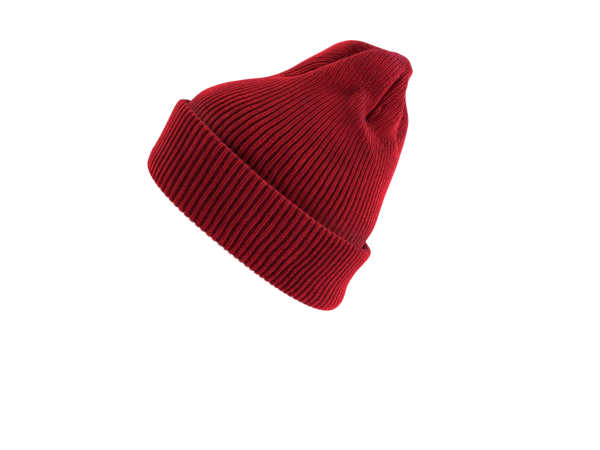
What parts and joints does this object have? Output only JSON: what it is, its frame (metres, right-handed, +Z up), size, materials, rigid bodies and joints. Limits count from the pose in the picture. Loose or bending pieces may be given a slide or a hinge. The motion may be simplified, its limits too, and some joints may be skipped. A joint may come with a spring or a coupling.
{
  "type": "ribbed knit hat",
  "caption": "Soft ribbed knit hat with a folded, gathered top and a wide turned-up cuff, standing on its rim.",
  "frame": {"origin": "middle of the hat's box, on the surface that its rim rests on", "axes": "+Z up through the crown, -Y towards the front of the hat, +X towards the wearer's left"},
  "size_m": [0.1878, 0.2348, 0.221],
  "materials": {
    "crown_knit": "deep red ribbed knit, soft and matte",
    "cuff_knit": "deep red ribbed knit, soft and matte"
  },
  "bodies": {
    "root": {"crown": "crown_knit", "cuff": "cuff_knit"}
  },
  "joints": []
}
